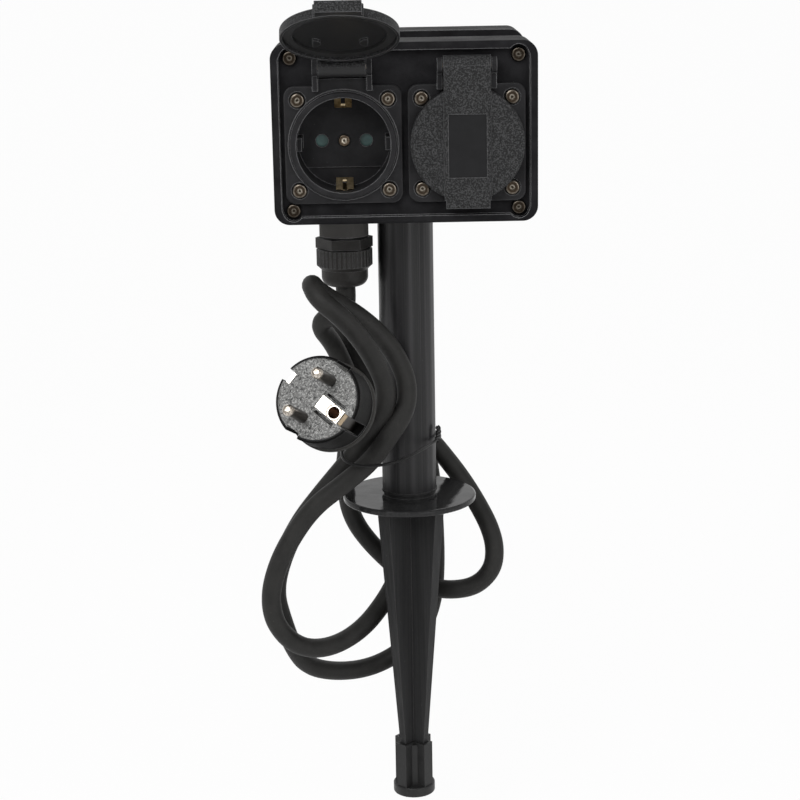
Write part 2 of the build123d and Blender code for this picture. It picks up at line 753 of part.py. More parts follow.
def conductor(terminal_x, link_gap, link_z, feed):
    """One pole's wires: a link across each side, one from left to right, and the feed from the cord."""
    end_y = terminal_y
    link_y = link_gap - terminal_y
    pieces = []
    for side in (-1, 1):
        bar = y_cylinder(wire_radius, -end_y, end_y, side * terminal_x, wire_high_z)
        pieces.append(bar)
    row = [(-terminal_x, -end_y), (-terminal_x, link_y), (terminal_x, link_y), (terminal_x, -end_y)]
    pieces.append(bent_wire([(x, y, link_z) for x, y in row]))
    lead_x = -terminal_x
    bend = ((feed[0] + lead_x) / 2, 6.0, cord_inside_top + 12)
    route = [(*feed, cord_inside_top), (*feed, cord_inside_top + 6), bend]
    route += [(lead_x, 11.0, wire_low_z), (lead_x, end_y, wire_low_z)]
    pieces.append(bent_wire(route))
    return group(pieces)


plug_frame = Plane(origin=plug_origin, x_dir=plug_pin_line, z_dir=plug_axis)


def in_plug(shape):
    """Place a plug piece: pins along +Z of the plug's own frame, face at its Z = 0."""
    return plug_frame.location * shape


def plug_side_cuts():
    """Guide grooves at both ends of the pin line and the channels of the two earth clips."""
    cuts = []
    for side in (-1, 1):
        deep = plug_front_radius - plug_groove_depth
        x_range = sorted((side * deep, side * (plug_front_radius + 2)))
        half = plug_groove_width / 2
        cuts.append(block(x_range, (-half, half), (-plug_front_length, 1)))
        clip_half = earth_clip_width / 2 + earth_clip_play
        floor = earth_clip_reach - earth_clip_thickness - earth_clip_play
        y_range = sorted((side * floor, side * (plug_front_radius + 2)))
        cuts.append(block((-clip_half, clip_half), y_range, (-plug_front_length + 1.5, 1)))
        notch = earth_clip_reach - earth_clip_lip - earth_clip_play
        y_range = sorted((side * notch, side * (plug_front_radius + 2)))
        notch_low = -earth_clip_sink - earth_clip_lip_length - earth_clip_play
        cuts.append(block((-clip_half, clip_half), y_range, (notch_low, 1)))
    return cuts


def plug_face():
    """Hard insert whose end is the plug's face: pin holes and the sunk earth hole."""
    piece = z_cylinder(plug_face_radius, -plug_front_length + 2, 0)
    piece = chamfer(piece.edges().filter_by(GeomType.CIRCLE).group_by(Axis.Z)[-1], 0.6)
    for cut in plug_side_cuts():
        piece -= cut
    for side in (-1, 1):
        root = plug_pin_root_radius + slack
        piece -= z_cylinder(root, -plug_pin_root - slack, 1, side * pin_spacing / 2)
    half_width = earth_window_width / 2
    window_y = (earth_plate_low, earth_plate_high)
    piece -= block((-half_width, half_width), window_y, (-earth_window_depth, 1))
    for side in (-1, 1):
        slit_x = sorted((side * (half_width - earth_slit_width), side * half_width))
        slit_y = (earth_plate_low + earth_slit_inset, earth_plate_high - earth_slit_inset)
        piece -= block(slit_x, slit_y, (-earth_slit_depth, 0))
    piece -= z_cylinder(earth_hole_radius + 0.6, -15, 0, 0, -earth_hole_offset)
    return piece


def plug_body():
    """Soft moulded body: front sleeve, ring, tapering grip and cord sleeve."""
    ring_low = -plug_front_length - plug_ring_length
    grip_low = ring_low - plug_grip_length
    piece = z_cylinder(plug_front_radius, -plug_front_length, -0.9)
    piece = chamfer(piece.edges().filter_by(GeomType.CIRCLE).group_by(Axis.Z)[-1], 1.0)
    for cut in plug_side_cuts():
        piece -= cut
    ring = z_cylinder(plug_ring_radius, ring_low, -plug_front_length)
    piece += fillet(ring.edges().filter_by(GeomType.CIRCLE), 0.8)
    grip_top = Pos(0, 0, ring_low) * Circle(plug_grip_radius)
    grip_end = Pos(0, 0, grip_low) * Circle(plug_grip_end_radius)
    piece += loft([grip_top, grip_end])
    tail_end = grip_low - plug_tail_length
    tail_top = Pos(0, 0, grip_low) * Circle(plug_tail_radius)
    tail_low = Pos(0, 0, tail_end) * Circle(plug_tail_radius - 0.8)
    piece += loft([tail_top, tail_low])
    piece -= z_cylinder(plug_face_radius + slack, -plug_front_length + 2 - slack, 1)
    return piece


def plug_pins():
    """Two round pins with rounded ends, each on a thinner root in the face."""
    pieces = []
    for side in (-1, 1):
        x = side * pin_spacing / 2
        pin = z_cylinder(pin_radius, 0, plug_pin_length, x)
        pin = fillet(pin.edges().filter_by(GeomType.CIRCLE).group_by(Axis.Z)[-1], pin_tip_round)
        pin += z_cylinder(plug_pin_root_radius, -plug_pin_root, 0, x)
        pieces.append(pin)
    return group(pieces)


def plug_earth_contact():
    """Plate with the earth hole, sunk in the face, and the two side clips."""
    half_width = earth_plate_width / 2
    plate_y = (earth_plate_low + earth_plate_play, earth_plate_high - earth_plate_play)
    plate = block((-half_width, half_width), plate_y, (-earth_window_depth, -earth_plate_sink))
    tube_outer = z_cylinder(earth_hole_radius + 0.5, -14.5, -0.5, 0, -earth_hole_offset)
    plate += tube_outer
    plate -= z_cylinder(earth_hole_radius, -13.5, 1, 0, -earth_hole_offset)
    pieces = [plate]
    half = earth_clip_width / 2
    for side in (-1, 1):
        y_range = sorted((side * (earth_clip_reach - earth_clip_thickness), side * earth_clip_reach))
        clip = block((-half, half), y_range, (-plug_front_length + 1.7, -earth_clip_sink))
        y_range = sorted((side * (earth_clip_reach - earth_clip_lip), side * earth_clip_reach))
        lip_z = (-earth_clip_sink - earth_clip_lip_length, -earth_clip_sink)
        pieces.append(clip + block((-half, half), y_range, lip_z))
    return group(pieces)


def plug_tail_end():
    """Where the cord leaves the plug, and the plug's outward axis."""
    axis = Vector(*plug_axis).normalized()
    length = plug_front_length + plug_ring_length + plug_grip_length + plug_tail_length
    return Vector(*plug_origin) - axis * length, axis


def cord_route():
    """The free cord's points from the gland to the plug, in the order in which it runs."""
    tail_end, axis = plug_tail_end()
    points = [
        (gland_x, 0, cord_start),
        (gland_x, 0, 91.5),
        # Down behind the plug and past the disc on the left
        (-40, 8, 87),
        (-37, 17, 76),
        (-32, 18, 66),
        (-27.5, 17, 54.5),
        (-26.5, 16, 41.5),
        (-27.5, 19, 27.5),
        (-30.5, 22, 12),
        (-30.5, 25, -0.5),
        # Behind the spike and round the small loop on the right
        (-28, 29, -18),
        (-18.5, 31, -33),
        (-3.5, 31, -48),
        (8.5, 23, -52),
        (19, 18, -52.5),
        (31.5, 16, -50),
        (39.5, 14, -41),
        (41, 15, -30.5),
        (38.5, 18, -20.5),
        (33, 24, -10.5),
        (26, 28.5, 0.5),
        # Up behind the pole to its left, over and down again further back
        (18, 27, 12),
        (10, 23.5, 23),
        (1, 25, 34),
        (-8.5, 27, 45.5),
        (-18.5, 28.5, 57),
        (-26, 31, 68),
        (-30, 39, 75.5),
        (-28, 49, 75),
        (-21.5, 54, 66),
        (-12.5, 54, 54),
        (-4, 53, 42),
        (3, 51, 29),
        (8.5, 47.5, 14),
        (11.5, 43, -2),
        (12.5, 38.5, -21),
        # The wide lower loop, from right to left
        (13, 35, -42.5),
        (11.5, 31, -62),
        (4.5, 26, -77.5),
        (-7.5, 20, -86),
        (-21.5, 17, -91.5),
        (-37, 12, -91),
        (-50.5, 6, -85.5),
        (-57, -2, -72),
        (-61, -8, -56.5),
        (-64, -13, -40.5),
        (-59.5, -18, -21.5),
        (-51, -21, -4),
        # Up through the tie to the fold below the gland
        (-40, -21, 10),
        (-29, -21, 23),
        (-20.5, -21, 35),
        (-12.5, -24, 47),
        (-9, -29, 60.5),
        (-12.5, -34, 71.5),
        (-19.5, -39, 83.5),
        (-27.5, -43, 95.5),
        (-37.5, -44, 104.5),
        (-41, -33, 110),
        (-37.5, -22, 104.5),
        # Down again in front of the pole and through the tie
        (-24, -20, 93.5),
        (-12.5, -20, 83.5),
        (-4.5, -21, 72.5),
        (0, -22, 59.5),
        (-1, -24, 48),
        (-7, -28, 37),
        (-18, -32, 26.5),
        (-31.5, -34, 16.5),
        (-44.5, -34, 6.5),
        # The front loop on the left
        (-55, -33, -8.5),
        (-62, -31, -23.5),
        (-65.5, -28, -39),
        (-63, -23, -54.5),
        (-53, -16, -67.5),
        (-39, -8, -71),
        (-24, 3, -66.5),
        (-12, 15, -55.5),
        # Up behind the spike, round the pole's left side and out to the plug
        (-4, 21, -41.5),
        (-2, 30, -22),
        (-3.5, 38, 2),
        (-8, 31, 22),
        (-18, 15, 35),
        (-24.5, -4, 41),
        (-28, -19, 44),
        (-24.5, -32.5, 44),
    ]
    return points + [tuple(tail_end - axis * last_run), tuple(tail_end)]


def cord():
    """The free cord: one tube along the route."""
    path, radii = rounded_path(cord_route())
    piece = tube(path, cord_radius)
    plain = math.pi * cord_radius ** 2 * path.length
    print("cord length", round(path.length, 1), "volume ratio", round(piece.volume / plain, 5))
    print("cord bend radii", [round(radius, 1) for radius in radii])
    return piece


def beside_pole(angle, gap, z):
    """A point beside the pole: angle from +X, and the gap that it adds to the tie's reach."""
    turn = math.radians(angle)
    reach = tie_reach + gap
    return (reach * math.cos(turn), reach * math.sin(turn), z)


def cable_tie():
    """Thin rod bent once round the pole and the two strands in front of it, with its ends crossed."""
    points = [
        beside_pole(-21.2, 2.4, 37),
        beside_pole(-25.8, 1.9, 31),
        beside_pole(-67.2, 6.4, 30),
        (-4, -36.5, 28.5),
        (-16, -40, 27),
        (-28.5, -39, 28),
        (-32, -25, 31),
        beside_pole(-161.2, 10.6, 34),
        beside_pole(158.3, 0.66, 34),
        beside_pole(113.2, 1.03, 32.5),
        beside_pole(66.8, 1.03, 31),
        beside_pole(19.65, 0.67, 30.5),
        beside_pole(-11.7, 0.61, 34),
        beside_pole(-14.04, 2.29, 39),
    ]
    path = rounded_path(points)[0]
    return tube(path, tie_radius)


def main():
    save("housing_body", housing_body())
    cover = front_cover()
    save("front_cover", cover)
    save("rear_cover", at_back(cover))
    ring = seal_ring(seal_width, seal_depth)
    save("front_cover_seal", ring)
    save("rear_cover_seal", at_back(ring))
    save("front_cover_screws", front_cover_screws())
    save("rear_cover_screws", at_back(front_cover_screws()))
    save("front_socket_screws", front_socket_screws())
    save("rear_socket_screws", at_back(front_socket_screws()))

    pieces = {
        "insert": socket_insert(),
        "contact_base": contact_base(),
        "contacts": contacts(),
        "earth_strap": earth_strap(),
        "shutter": shutter(),
    }
    lid = closed_lid()
    lid_seal = closed_lid_seal()
    shared = {
        "hinge_pins": hinge_pin(),
        "center_screws": center_screw(),
        "shutter_springs": shutter_spring(),
        "flange_gaskets": flange_gasket(),
    }
    shared_groups = {name: [] for name in shared}
    for face in ("front", "rear"):
        for side, column in (("left", -1), ("right", 1)):
            turn = at_back if face == "rear" else (lambda shape: shape)
            seat = -column if face == "rear" else column
            prefix = f"{face}_{side}"
            for name, piece in pieces.items():
                save(f"{prefix}_{name}", turn(at_socket(piece, seat)))
            angle = front_left_lid_angle if prefix == "front_left" else 0.0
            save(f"{prefix}_lid", turn(at_socket(opened(lid, angle), seat)))
            save(f"{prefix}_lid_seal", turn(at_socket(opened(lid_seal, angle), seat)))
            for name, piece in shared.items():
                shared_groups[name].append(turn(at_socket(piece, seat)))
    for name, members in shared_groups.items():
        save(name, group(members))

    save("pole", pole())
    save("pole_screw", pole_screw())
    save("spike", spike())
    save("spike_cap", spike_cap())

    save("gland_body", gland_body())
    save("gland_seal", gland_seal())
    save("gland_nut", gland_nut())
    save("gland_sleeve", gland_sleeve())

    save("cord_inside", z_cylinder(cord_radius, cord_start, cord_inside_top, gland_x))
    outer_x = socket_x + pin_spacing / 2
    inner_x = socket_x - pin_spacing / 2
    live_feed = (gland_x - wire_spread, wire_offset)
    neutral_feed = (gland_x + wire_spread, wire_offset)
    earth_feed = (gland_x, -earth_wire_offset)
    save("live_wires", conductor(outer_x, live_link_gap, wire_low_z, live_feed))
    save("neutral_wires", conductor(inner_x, neutral_link_gap, wire_mid_z, neutral_feed))
    save("earth_wires", conductor(socket_x, earth_link_gap, wire_mid_z, earth_feed))
    save("plug_face", in_plug(plug_face()))
    save("plug_body", in_plug(plug_body()))
    save("plug_pins", in_plug(plug_pins()))
    save("plug_earth_contact", in_plug(plug_earth_contact()))
    save("cord", cord())
    save("cable_tie", cable_tie())


main()
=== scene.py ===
import json
import math

import bmesh
import bpy
from mathutils import Matrix, Vector


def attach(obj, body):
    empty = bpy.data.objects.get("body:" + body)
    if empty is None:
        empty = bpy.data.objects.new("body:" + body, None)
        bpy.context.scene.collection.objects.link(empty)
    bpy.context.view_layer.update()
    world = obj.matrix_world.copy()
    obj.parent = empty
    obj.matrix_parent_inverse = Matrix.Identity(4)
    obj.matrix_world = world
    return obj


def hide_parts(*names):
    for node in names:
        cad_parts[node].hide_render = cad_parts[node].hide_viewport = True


# Garden socket on its spike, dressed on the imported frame. Metres, front towards -Y, +Z up.

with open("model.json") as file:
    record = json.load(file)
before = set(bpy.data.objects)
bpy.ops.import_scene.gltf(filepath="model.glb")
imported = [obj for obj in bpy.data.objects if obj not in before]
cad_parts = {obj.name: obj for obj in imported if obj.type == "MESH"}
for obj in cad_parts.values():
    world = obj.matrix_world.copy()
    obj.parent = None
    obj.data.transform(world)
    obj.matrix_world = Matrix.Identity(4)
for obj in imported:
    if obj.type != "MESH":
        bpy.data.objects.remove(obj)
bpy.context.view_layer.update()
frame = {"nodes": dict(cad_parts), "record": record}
nodes = frame["nodes"]

# Camera of the photograph
image_size = 800
focal_px = 1958.3
camera_place = (-0.010844, -0.88072, 0.2665)
camera_pitch = 13.961
camera_yaw = 0.464
camera_roll = -1.008
sensor_width_mm = 36.0

# Backdrop, low enough for the tip cap when it is pulled off
floor_z = -0.1784
floor_reach = 8.0
wall_back = 1.6
wall_height = 3.0
wall_bend = 0.6
wall_bend_steps = 8
backdrop_white = 1.0
backdrop_glow_share = 0.95
paper_tone = (0.8, 0.8, 0.8, 1)
sky_seen_tone = (0.98, 0.98, 0.98, 1)

# Light: the sky's level, and each lamp's place, aim, width, height and watts
world_level = 0.45
lamps = {
    "key_lamp": ((-0.5, -1.1, 1.0), (0, 0, 0.08), 0.9, 0.9, 13),
    "fill_lamp": ((0.8, -1.1, 0.4), (0, 0, 0.05), 0.6, 1.1, 5),
    "rim_lamp": ((0.2, 0.9, 0.9), (0, 0, 0.1), 0.8, 0.4, 3),
}

# Cord
cord_radius = 0.0045
cord_points = [
    (-0.0278, 0, 0.1031),
    (-0.027, 0.0003, 0.0938),
    # Down behind the plug and past the disc on the left
    (-0.0305, 0.0035, 0.087),
    (-0.0383, 0.008, 0.0853),
    (-0.0401, 0.0125, 0.0798),
    (-0.0357, 0.017, 0.0731),
    (-0.032, 0.018, 0.066),
    (-0.0275, 0.017, 0.0545),
    (-0.0265, 0.016, 0.0415),
    (-0.0275, 0.019, 0.0275),
    (-0.0305, 0.022, 0.012),
    (-0.0305, 0.025, -0.0005),
    # Behind the spike and round the small loop on the right
    (-0.028, 0.029, -0.018),
    (-0.0185, 0.031, -0.033),
    (-0.0035, 0.031, -0.048),
    (0.0085, 0.023, -0.052),
    (0.019, 0.018, -0.0525),
    (0.0315, 0.016, -0.05),
    (0.0395, 0.014, -0.041),
    (0.041, 0.015, -0.0305),
    (0.0385, 0.018, -0.0205),
    (0.033, 0.024, -0.0105),
    (0.026, 0.0285, 0.0005),
    # Up behind the pole, over and down again further back
    (0.018, 0.027, 0.012),
    (0.01, 0.0235, 0.023),
    (-0.0012, 0.025, 0.034),
    (-0.0118, 0.027, 0.0455),
    (-0.022, 0.0285, 0.057),
    (-0.029, 0.031, 0.068),
    (-0.0322, 0.039, 0.0768),
    (-0.028, 0.049, 0.075),
    (-0.0215, 0.054, 0.066),
    (-0.0125, 0.054, 0.054),
    (-0.004, 0.053, 0.042),
    (0.003, 0.051, 0.029),
    (0.0085, 0.0475, 0.014),
    (0.0115, 0.043, -0.002),
    (0.0125, 0.0385, -0.021),
    # The wide lower loop, from right to left
    (0.013, 0.035, -0.0425),
    (0.0115, 0.031, -0.062),
    (0.0045, 0.026, -0.0775),
    (-0.0075, 0.02, -0.086),
    (-0.0215, 0.017, -0.0915),
    (-0.037, 0.012, -0.091),
    (-0.0505, 0.006, -0.0855),
    (-0.057, -0.002, -0.072),
    (-0.061, -0.008, -0.0565),
    (-0.064, -0.013, -0.0405),
    (-0.0595, -0.018, -0.0215),
    (-0.051, -0.021, -0.004),
    # Up through the tie to the fold below the gland
    (-0.04, -0.021, 0.01),
    (-0.029, -0.021, 0.023),
    (-0.0195, -0.021, 0.0347),
    (-0.0110, -0.024, 0.0465),
    (-0.0098, -0.029, 0.0605),
    (-0.0137, -0.034, 0.0715),
    (-0.0195, -0.039, 0.0835),
    (-0.0285, -0.043, 0.0957),
    (-0.039, -0.044, 0.1046),
    (-0.0427, -0.033, 0.1102),
    (-0.0388, -0.022, 0.1027),
    # Down again in front of the pole and through the tie
    (-0.024, -0.02, 0.0935),
    (-0.0125, -0.02, 0.0835),
    (-0.0045, -0.021, 0.0725),
    (0, -0.022, 0.0595),
    (-0.0016, -0.024, 0.048),
    (-0.0092, -0.028, 0.0377),
    (-0.018, -0.032, 0.0265),
    (-0.0315, -0.034, 0.0165),
    (-0.0445, -0.034, 0.0065),
    # The front loop on the left
    (-0.055, -0.033, -0.0085),
    (-0.062, -0.031, -0.0235),
    (-0.0655, -0.028, -0.039),
    (-0.063, -0.023, -0.0545),
    (-0.053, -0.016, -0.0675),
    (-0.039, -0.008, -0.071),
    (-0.024, 0.003, -0.0665),
    (-0.012, 0.015, -0.0555),
    # Up behind the spike, round the pole's left side and out to the plug
    (-0.004, 0.021, -0.0415),
    (-0.002, 0.03, -0.022),
    (-0.0035, 0.038, 0.002),
    (-0.008, 0.031, 0.022),
    (-0.018, 0.015, 0.035),
    (-0.0245, -0.004, 0.041),
    (-0.028, -0.019, 0.044),
    (-0.0245, -0.0325, 0.044),
    (-0.02008, -0.04276, 0.04788),
    (-0.02325, -0.05236, 0.05222),
]

# Tie: a rod whose ends are twisted together beside the pole
tie_radius = 0.0007
tie_points = [
    (0.0128, -0.0078, 0.0301),
    (0.0080, -0.0190, 0.0298),
    (-0.004, -0.0365, 0.0285),
    (-0.016, -0.04, 0.027),
    (-0.0285, -0.039, 0.028),
    (-0.032, -0.025, 0.031),
    (-0.0235, -0.008, 0.034),
    (-0.0138, 0.0055, 0.034),
    (-0.006, 0.014, 0.0325),
    (0.006, 0.014, 0.031),
    (0.014, 0.005, 0.0305),
    (0.0148, -0.0025, 0.0302),
    (0.0138, -0.0062, 0.0302),
]
tie_twist = ((0.0124, -0.0078, 0.0295), (0.0146, -0.0062, 0.0325), (0.0134, -0.0060, 0.0362))
twist_turns = 2.25
twist_steps = 28
twist_reach = 0.8 * tie_radius

# Sockets, in metres from the part's axes
sockets = ("front_left", "front_right", "rear_left", "rear_right")
socket_x = 0.026
socket_z = 0.1722
panel_face = 0.055
plate_screw = 0.019
cover_screw_x = 0.04785
cover_screw_z = 0.0321
cover_mid_z = 0.1765
hinge_out = 0.0027
hinge_rise = 0.0326
lid_open_degrees = 115.5
window_width = 0.0159
window_height = 0.0263
window_mid = -0.00065
window_floor = 0.0064
window_gap = 0.00002
window_thickness = 0.0001

# Box: its underside, from which the gland's boss and the pole socket hang; the housing below it is painted
# lighter, as painted light on the shaded boss
box_underside = 0.1383

# Spike: where its polished collar ends and its satin blades begin, and over how much
blade_top = -0.004
blade_blur = 0.0005

# Screw heads: the inner and outer radius of their painted light-and-shade rings, and how much they wander
ring_inner = 0.00045
ring_outer = 0.00365
ring_wobble = 0.0009

# Plug: the way its pins point, where the tips' painted highlight and the ring begin along it, its earth hole
# and clip
plug_way = (-0.288, -0.873, 0.394)
pin_tip_start = 0.1437
plug_ring_start = 0.1087
earth_hole = (-0.031856, -0.103991, 0.068624)
earth_hole_radius = 0.0025
plug_clip_way = (0.7233, -0.4678, -0.5079)
plug_clip_start = -0.00535
plug_clip_front = 0.1257

# Dust on plastic
dust_tone = (0.12, 0.12, 0.12)


def setup_camera():
    """The photograph's camera."""
    yaw, pitch, roll = (math.radians(value) for value in (camera_yaw, camera_pitch, camera_roll))
    forward = Vector((math.sin(yaw) * math.cos(pitch), math.cos(yaw) * math.cos(pitch), -math.sin(pitch)))
    level_right = Vector((math.cos(yaw), -math.sin(yaw), 0))
    level_up = level_right.cross(forward)
    right = math.cos(roll) * level_right + math.sin(roll) * level_up
    up = -math.sin(roll) * level_right + math.cos(roll) * level_up
    data = bpy.data.cameras.new("camera")
    data.sensor_width = sensor_width_mm
    data.lens = focal_px / image_size * data.sensor_width
    data.clip_start = 0.01
    camera = bpy.data.objects.new("camera", data)
    turn = Matrix((right, up, -forward)).transposed().to_4x4()
    camera.matrix_world = Matrix.Translation(camera_place) @ turn
    bpy.context.scene.collection.objects.link(camera)
    bpy.context.scene.camera = camera


# Shader building blocks


class Surface:
    """A material round one Principled shader, with helpers for its patterns."""

    def __init__(self, name, rough, metallic=0.0, specular=0.5):
        self.material = bpy.data.materials.new(name)
        self.material.use_nodes = True
        self.tree = self.material.node_tree
        self.shader = self.tree.nodes["Principled BSDF"]
        self.shader.inputs["Roughness"].default_value = rough
        self.shader.inputs["Metallic"].default_value = metallic
        self.shader.inputs["Specular IOR Level"].default_value = specular
        self.place = self.add("ShaderNodeTexCoord").outputs["Object"]
        self.normal = None

    def add(self, kind, **settings):
        """A new node; settings are its properties or its input sockets' values."""
        node = self.tree.nodes.new(kind)
        for key, value in settings.items():
            if hasattr(node, key):
                setattr(node, key, value)
            else:
                node.inputs[key.replace("_", " ")].default_value = value
        return node

    def link(self, output, node, socket):
        self.tree.links.new(output, node.inputs[socket])

    def stretched(self, scale):
        """Object coordinates scaled along each axis."""
        mapping = self.add("ShaderNodeMapping", Scale=scale)
        self.link(self.place, mapping, "Vector")
        return mapping.outputs["Vector"]

    def noise(self, scale, detail=3.0, roughness=0.55, place=None):
        """A cloudy pattern over the object's coordinates, or over others."""
        node = self.add("ShaderNodeTexNoise", Scale=scale, Detail=detail, Roughness=roughness)
        self.link(place or self.place, node, "Vector")
        return node.outputs["Fac"]

    def spread(self, value, low, high, out_low, out_high):
        """A value mapped from one range to another, clamped."""
        node = self.add("ShaderNodeMapRange", From_Min=low, From_Max=high, To_Min=out_low, To_Max=out_high)
        self.link(value, node, "Value")
        return node.outputs["Result"]

    def blend(self, factor, first, second):
        """A mix of two colours, each a triple or another node's output."""
        node = self.add("ShaderNodeMix", data_type="RGBA")
        self.link(factor, node, 0)
        for socket, color in ((6, first), (7, second)):
            if isinstance(color, tuple):
                node.inputs[socket].default_value = (*color, 1.0)
            else:
                self.link(color, node, socket)
        return node.outputs[2]

    def overlay(self, color, tone, value, low, high, share=1.0):
        """A colour that turns into another tone, up to a share of it, as a value goes from low to high."""
        return self.blend(self.spread(value, low, high, 0.0, share), color, tone)

    def bump(self, height, distance, strength=1.0):
        """Relief from a pattern, on top of the relief so far."""
        node = self.add("ShaderNodeBump", Strength=strength, Distance=distance)
        self.link(height, node, "Height")
        if self.normal:
            self.link(self.normal, node, "Normal")
        self.normal = node.outputs["Normal"]

    def folded(self, value, steps):
        """A coordinate folded about each step in turn: its distance to the nearest of a mirrored set."""
        for step in steps:
            shifted = self.add("ShaderNodeMath", operation="SUBTRACT")
            self.link(value, shifted, 0)
            shifted.inputs[1].default_value = step
            mirrored = self.add("ShaderNodeMath", operation="ABSOLUTE")
            self.link(shifted.outputs[0], mirrored, 0)
            value = mirrored.outputs[0]
        return value

    def object_normal(self):
        return self.add("ShaderNodeTexCoord").outputs["Normal"]

    def off_axis(self, point, direction):
        """Distance from the line through a point."""
        shifted = self.add("ShaderNodeVectorMath", operation="SUBTRACT")
        self.link(self.place, shifted, 0)
        shifted.inputs[1].default_value = point
        crossed = self.add("ShaderNodeVectorMath", operation="CROSS_PRODUCT")
        self.link(shifted.outputs["Vector"], crossed, 0)
        crossed.inputs[1].default_value = direction
        reach = self.add("ShaderNodeVectorMath", operation="LENGTH")
        self.link(crossed.outputs["Vector"], reach, 0)
        return reach.outputs["Value"]

    def beyond(self, direction, offset, blur=0.0002):
        """A mask that is 1 past a plane across the direction."""
        product = self.add("ShaderNodeVectorMath", operation="DOT_PRODUCT")
        self.link(self.place, product, 0)
        product.inputs[1].default_value = direction
        return self.spread(product.outputs["Value"], offset - blur, offset + blur, 0.0, 1.0)

    def highlit_edge_mask(self, radius):
        """A mask that is 1 on sharp edges and 0 on flat stretches, where painted edge highlights go."""
        rounded = self.add("ShaderNodeBevel", samples=4, Radius=radius)
        plain = self.add("ShaderNodeNewGeometry")
        product = self.add("ShaderNodeVectorMath", operation="DOT_PRODUCT")
        self.link(rounded.outputs["Normal"], product, 0)
        self.link(plain.outputs["Normal"], product, 1)
        return self.spread(product.outputs["Value"], 0.98, 0.75, 0.0, 1.0)

    def rounded(self, radius):
        """Soften sharp moulded edges under the bumps that follow."""
        self.normal = self.add("ShaderNodeBevel", samples=4, Radius=radius).outputs["Normal"]

    def finish(self, color, rough=None):
        """The material, once its patterns are joined to the shader."""
        self.link(color, self.shader, "Base Color")
        if rough is not None:
            self.link(rough, self.shader, "Roughness")
        if self.normal:
            self.link(self.normal, self.shader, "Normal")
        return self.material


def moulded(name, dark, light, rough, grain, depth, specular=0.15, edge=0.0004, rim=0.7, dust=0.25,
            edge_highlight_tone=0.21, second=None):
    """Injection-moulded plastic: faint flow mottling, fine grain, painted highlights on the edges, a trace
    of dust.

    second is a direction, how far along it the piece changes colour, and that colour.
    """
    surface = Surface(name, rough, specular=specular)
    surface.rounded(edge)
    color = surface.overlay(dark, light, surface.noise(140.0, 4.0), 0.3, 0.7)
    if second:
        direction, start, other = second
        color = surface.blend(surface.beyond(direction, start), color, other)
    # Painted highlight on sharp edges: a light tone, at the rim share, where the edge mask is 1
    edge_highlight_color = (edge_highlight_tone, edge_highlight_tone, edge_highlight_tone * 1.02)
    color = surface.overlay(color, edge_highlight_color, surface.highlit_edge_mask(edge * 1.6), 0.0, 1.0, rim)
    color = surface.overlay(color, dust_tone, surface.noise(900.0, 2.0, 0.7), 0.70, 0.78, dust)
    surface.bump(surface.noise(grain, 2.0, 0.6), depth)
    smudge = surface.noise(38.0, 3.0)
    return surface.finish(color, surface.spread(smudge, 0.3, 0.7, rough - 0.05, rough + 0.07))


def spark_textured(name, inward):
    """Lid: coarse eroded texture outside, smooth where the surface faces inward."""
    surface = Surface(name, 0.5, specular=0.3)
    surface.rounded(0.0004)
    facing = surface.add("ShaderNodeVectorMath", operation="DOT_PRODUCT")
    surface.link(surface.object_normal(), facing, 0)
    facing.inputs[1].default_value = inward
    outside = surface.spread(facing.outputs["Value"], 0.3, 0.5, 1.0, 0.0)
    grain = surface.noise(1650.0, 3.0, 0.65)
    rough_color = surface.overlay((0.002, 0.002, 0.0023), (0.044, 0.0445, 0.046), grain, 0.47, 0.59)
    color = surface.blend(outside, (0.016, 0.016, 0.0165), rough_color)
    # Painted highlight on the lid's sharp edges
    color = surface.overlay(color, (0.18, 0.18, 0.185), surface.highlit_edge_mask(0.0007), 0.0, 1.0, 0.7)
    raised = surface.add("ShaderNodeMath", operation="MULTIPLY")
    surface.link(grain, raised, 0)
    surface.link(outside, raised, 1)
    surface.bump(raised.outputs[0], 0.0005)
    return surface.finish(color, surface.spread(outside, 0.0, 1.0, 0.35, 0.5))


def window_smooth():
    """The smooth dark field sunk in a lid's strap."""
    surface = Surface("lid_window", 0.3, specular=0.25)
    mottle = surface.noise(220.0, 4.0)
    color = surface.blend(mottle, (0.004, 0.004, 0.0046), (0.0095, 0.0095, 0.0106))
    scratch = surface.noise(1.0, 3.0, 0.6, surface.stretched((1200.0, 1200.0, 40.0)))
    color = surface.overlay(color, (0.07, 0.07, 0.075), scratch, 0.70, 0.76, 0.6)
    surface.bump(mottle, 0.0001)
    return surface.finish(color)


def extruded():
    """Pole: satin black with lighter and darker streaks along its length."""
    surface = Surface("pole_plastic", 0.38, specular=0.3)
    broad = surface.noise(1.0, 2.0, 0.5, surface.stretched((300.0, 300.0, 1.0)))
    lines = surface.noise(1.0, 3.0, 0.6, surface.stretched((1100.0, 1100.0, 3.0)))
    color = surface.overlay((0.0055, 0.0055, 0.0059), (0.024, 0.0232, 0.0246), broad, 0.35, 0.65)
    color = surface.overlay(color, (0.09, 0.088, 0.09), lines, 0.58, 0.74, 0.45)
    color = surface.overlay(color, dust_tone, surface.noise(700.0, 2.0, 0.7), 0.72, 0.78, 0.4)
    surface.bump(broad, 0.0002)
    surface.bump(lines, 0.00006)
    return surface.finish(color, surface.spread(broad, 0.3, 0.7, 0.46, 0.3))


